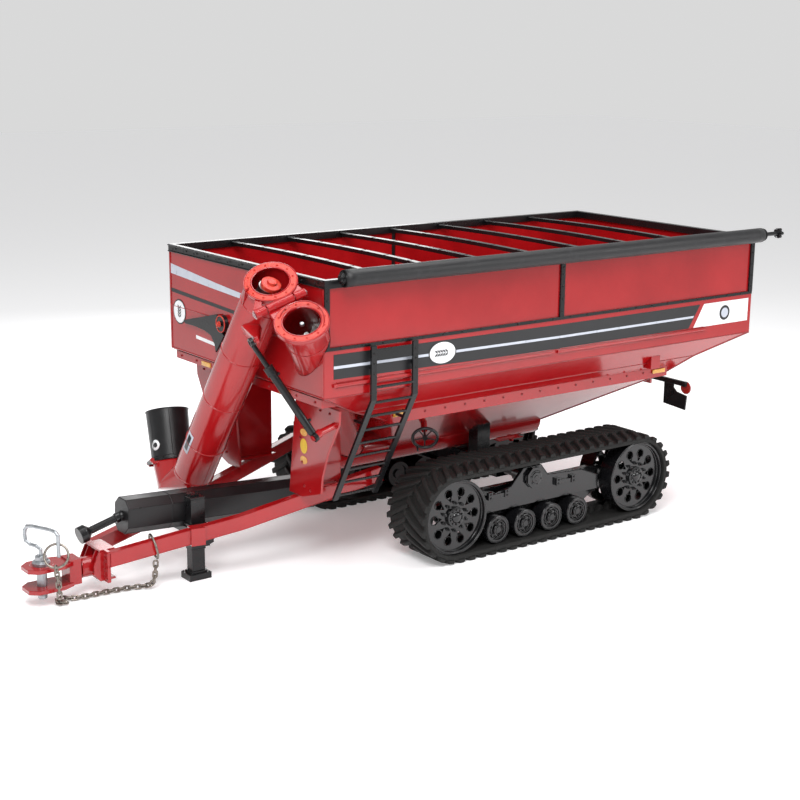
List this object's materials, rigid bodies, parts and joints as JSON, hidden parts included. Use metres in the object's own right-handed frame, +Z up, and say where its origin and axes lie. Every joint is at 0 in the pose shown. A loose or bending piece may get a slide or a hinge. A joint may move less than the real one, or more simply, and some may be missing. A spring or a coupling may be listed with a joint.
{
  "type": "grain cart",
  "caption": "Tracked, towed grain cart: long hopper with sloped sheets, folding corner auger with spout, rolled side tarp, ladder, drawbar with jack and hitch clevis.",
  "frame": {"origin": "on the ground under the middle of the cart's overall length and width", "axes": "+X points forward to the hitch, +Y to the cart's left, +Z up; the ground is z = 0"},
  "size_m": [10.72, 4.2048, 3.9852],
  "materials": {
    "red_paint": "glossy dark red machine paint",
    "black_paint": "satin black paint",
    "flighting": "worn bright steel",
    "zinc": "dull zinc plating",
    "chain_steel": "dark oily steel",
    "rubber": "moulded track rubber",
    "tarp_vinyl": "coated black tarp cloth",
    "plastic": "moulded black plastic",
    "lamp_red": "red lamp lens"
  },
  "bodies": {
    "cart": {"hopper": "red_paint", "end_walls": "red_paint", "side_walls": "red_paint", "rim_rail": "black_paint", "wall_posts": "black_paint", "side_ribs": "red_paint", "sills": "red_paint", "tarp_bows": "black_paint", "main_axle": "black_paint", "front_leg_left": "red_paint", "front_leg_right": "red_paint", "drawbar_left": "red_paint", "drawbar_right": "red_paint", "drawbar_head": "red_paint", "jack_frame": "black_paint", "safety_chain": "chain_steel", "pto_shield": "plastic", "gear_case": "red_paint", "floor_trough": "red_paint", "lower_tube": "red_paint", "auger_cradle": "black_paint", "ladder": "black_paint", "light_bar": "black_paint", "rear_lamps": "lamp_red"},
    "auger_upper": {"upper_tube": "red_paint", "discharge_elbow": "red_paint", "hinge_pin": "red_paint"},
    "upper_flighting": {"upper_screw": "flighting"},
    "lower_flighting": {"lower_screw": "flighting"},
    "floor_flighting": {"floor_screw": "flighting"},
    "spout": {"spout": "rubber"},
    "fold_barrel": {"fold_barrel": "black_paint"},
    "fold_rod": {"fold_rod": "black_paint"},
    "driveline": {"pto_shaft": "black_paint"},
    "clevis": {"clevis": "red_paint"},
    "hitch_pin": {"drawbar_pin": "zinc", "pin_ring": "chain_steel"},
    "jack_leg": {"jack_leg": "black_paint"},
    "tarp": {"tarp_roll": "tarp_vinyl", "tarp_crank": "black_paint"},
    "hand_wheel": {"hand_wheel": "black_paint"},
    "flow_gate": {"flow_gate": "flighting"},
    "cleanout_door": {"cleanout_door": "red_paint"},
    "track_left": {"belt_left": "rubber", "track_frame_left": "black_paint"},
    "front_wheel_left": {"front_wheel_left": "black_paint"},
    "rear_wheel_left": {"rear_wheel_left": "black_paint"},
    "roller_left_1": {"roller_left_1": "black_paint"},
    "roller_left_2": {"roller_left_2": "black_paint"},
    "roller_left_3": {"roller_left_3": "black_paint"},
    "roller_left_4": {"roller_left_4": "black_paint"},
    "track_right": {"belt_right": "rubber", "track_frame_right": "black_paint"},
    "front_wheel_right": {"front_wheel_right": "black_paint"},
    "rear_wheel_right": {"rear_wheel_right": "black_paint"},
    "roller_right_1": {"roller_right_1": "black_paint"},
    "roller_right_2": {"roller_right_2": "black_paint"},
    "roller_right_3": {"roller_right_3": "black_paint"},
    "roller_right_4": {"roller_right_4": "black_paint"}
  },
  "joints": [
    {"name": "auger_fold", "type": "hinge", "parent": "cart", "child": "auger_upper", "pos_m": [2.7, 1.525, 3.6], "axis": [-0.9192, 0.1954, 0.342], "range_deg": [0, 180]},
    {"name": "spout_tilt", "type": "hinge", "parent": "auger_upper", "child": "spout", "pos_m": [2.91324, -1.5112, 1.01784], "axis": [0.2734, 0.8752, 0.3991], "range_deg": [0, 35]},
    {"name": "upper_screw_turn", "type": "hinge", "parent": "auger_upper", "child": "upper_flighting", "pos_m": [2.69777, 1.19423, 3.78294], "axis": [0, -0.5728, -0.8197], "continuous": true},
    {"name": "barrel_swing", "type": "hinge", "parent": "cart", "child": "fold_barrel", "pos_m": [2.4, 1.66, 1.98], "axis": [-0.8877, -0.0441, 0.4583], "range_deg": [0, 16.22]},
    {"name": "rod_stroke", "type": "slide", "parent": "fold_barrel", "child": "fold_rod", "axis": [0.4487, -0.3055, 0.8398], "range_m": [0, 0.6538]},
    {"name": "driveline_turn", "type": "hinge", "parent": "cart", "child": "driveline", "pos_m": [1.36, 0, 0.744], "axis": [0.9985, 0, 0.0539], "continuous": true},
    {"name": "floor_screw_turn", "type": "hinge", "parent": "cart", "child": "floor_flighting", "pos_m": [-1.3, 0, 1.2], "axis": [1, 0, 0], "continuous": true},
    {"name": "lower_screw_turn", "type": "hinge", "parent": "cart", "child": "lower_flighting", "pos_m": [0.8, 0, 1.28], "axis": [0.5578, 0.5442, 0.6267], "continuous": true},
    {"name": "clevis_swivel", "type": "hinge", "parent": "cart", "child": "clevis", "pos_m": [4.7, 0, 0.345], "axis": [1, 0, 0], "range_deg": [-15, 15]},
    {"name": "pin_lift", "type": "slide", "parent": "clevis", "child": "hitch_pin", "axis": [0, 0, 1], "range_m": [0, 0.45]},
    {"name": "jack_lift", "type": "slide", "parent": "cart", "child": "jack_leg", "axis": [0, 0, 1], "range_m": [0, 0.27]},
    {"name": "tarp_turn", "type": "hinge", "parent": "cart", "child": "tarp", "pos_m": [-1.3, 1.96, 3.875], "axis": [1, 0, 0], "continuous": true},
    {"name": "hand_wheel_turn", "type": "hinge", "parent": "cart", "child": "hand_wheel", "pos_m": [0.5, 1.32, 1.61], "axis": [-0.5021, -0.7531, 0.4251], "range_deg": [0, 480]},
    {"name": "gate_slide", "type": "slide", "parent": "cart", "child": "flow_gate", "axis": [-1, 0, 0], "range_m": [0, 0.51]},
    {"name": "door_swing", "type": "hinge", "parent": "cart", "child": "cleanout_door", "pos_m": [-2, -0.15, 0.975], "axis": [-1, 0, 0], "range_deg": [0, 95]},
    {"name": "track_pitch_left", "type": "hinge", "parent": "cart", "child": "track_left", "pos_m": [-1.15, 1.5, 0.87], "axis": [0, 1, 0], "range_deg": [-5, 5]},
    {"name": "front_wheel_turn_left", "type": "hinge", "parent": "track_left", "child": "front_wheel_left", "pos_m": [0.27, 1.4, 0.606], "axis": [0, 1, 0], "continuous": true},
    {"name": "rear_wheel_turn_left", "type": "hinge", "parent": "track_left", "child": "rear_wheel_left", "pos_m": [-2.95, 1.4, 0.606], "axis": [0, 1, 0], "continuous": true},
    {"name": "roller_turn_left_1", "type": "hinge", "parent": "track_left", "child": "roller_left_1", "pos_m": [-0.45, 1.4, 0.299], "axis": [0, 1, 0], "continuous": true},
    {"name": "roller_turn_left_2", "type": "hinge", "parent": "track_left", "child": "roller_left_2", "pos_m": [-0.92, 1.4, 0.299], "axis": [0, 1, 0], "continuous": true},
    {"name": "roller_turn_left_3", "type": "hinge", "parent": "track_left", "child": "roller_left_3", "pos_m": [-1.39, 1.4, 0.299], "axis": [0, 1, 0], "continuous": true},
    {"name": "roller_turn_left_4", "type": "hinge", "parent": "track_left", "child": "roller_left_4", "pos_m": [-1.86, 1.4, 0.299], "axis": [0, 1, 0], "continuous": true},
    {"name": "track_pitch_right", "type": "hinge", "parent": "cart", "child": "track_right", "pos_m": [-1.15, -1.5, 0.87], "axis": [0, 1, 0], "range_deg": [-5, 5]},
    {"name": "front_wheel_turn_right", "type": "hinge", "parent": "track_right", "child": "front_wheel_right", "pos_m": [0.27, -1.4, 0.606], "axis": [0, 1, 0], "continuous": true},
    {"name": "rear_wheel_turn_right", "type": "hinge", "parent": "track_right", "child": "rear_wheel_right", "pos_m": [-2.95, -1.4, 0.606], "axis": [0, 1, 0], "continuous": true},
    {"name": "roller_turn_right_1", "type": "hinge", "parent": "track_right", "child": "roller_right_1", "pos_m": [-0.45, -1.4, 0.299], "axis": [0, 1, 0], "continuous": true},
    {"name": "roller_turn_right_2", "type": "hinge", "parent": "track_right", "child": "roller_right_2", "pos_m": [-0.92, -1.4, 0.299], "axis": [0, 1, 0], "continuous": true},
    {"name": "roller_turn_right_3", "type": "hinge", "parent": "track_right", "child": "roller_right_3", "pos_m": [-1.39, -1.4, 0.299], "axis": [0, 1, 0], "continuous": true},
    {"name": "roller_turn_right_4", "type": "hinge", "parent": "track_right", "child": "roller_right_4", "pos_m": [-1.86, -1.4, 0.299], "axis": [0, 1, 0], "continuous": true}
  ],
  "couplings": [
    {"joint": "barrel_swing", "follows": "auger_fold", "ratio": 0.090035},
    {"joint": "rod_stroke", "follows": "auger_fold", "m_per_rad": 0.20806},
    {"joint": "floor_screw_turn", "follows": "driveline_turn", "ratio": 0.6},
    {"joint": "lower_screw_turn", "follows": "driveline_turn", "ratio": 0.6},
    {"joint": "gate_slide", "follows": "hand_wheel_turn", "m_per_rad": 0.06},
    {"joint": "rear_wheel_turn_left", "follows": "front_wheel_turn_left", "ratio": 1},
    {"joint": "roller_turn_left_1", "follows": "front_wheel_turn_left", "ratio": 2.6277},
    {"joint": "roller_turn_left_2", "follows": "front_wheel_turn_left", "ratio": 2.6277},
    {"joint": "roller_turn_left_3", "follows": "front_wheel_turn_left", "ratio": 2.6277},
    {"joint": "roller_turn_left_4", "follows": "front_wheel_turn_left", "ratio": 2.6277},
    {"joint": "rear_wheel_turn_right", "follows": "front_wheel_turn_right", "ratio": 1},
    {"joint": "roller_turn_right_1", "follows": "front_wheel_turn_right", "ratio": 2.6277},
    {"joint": "roller_turn_right_2", "follows": "front_wheel_turn_right", "ratio": 2.6277},
    {"joint": "roller_turn_right_3", "follows": "front_wheel_turn_right", "ratio": 2.6277},
    {"joint": "roller_turn_right_4", "follows": "front_wheel_turn_right", "ratio": 2.6277}
  ]
}
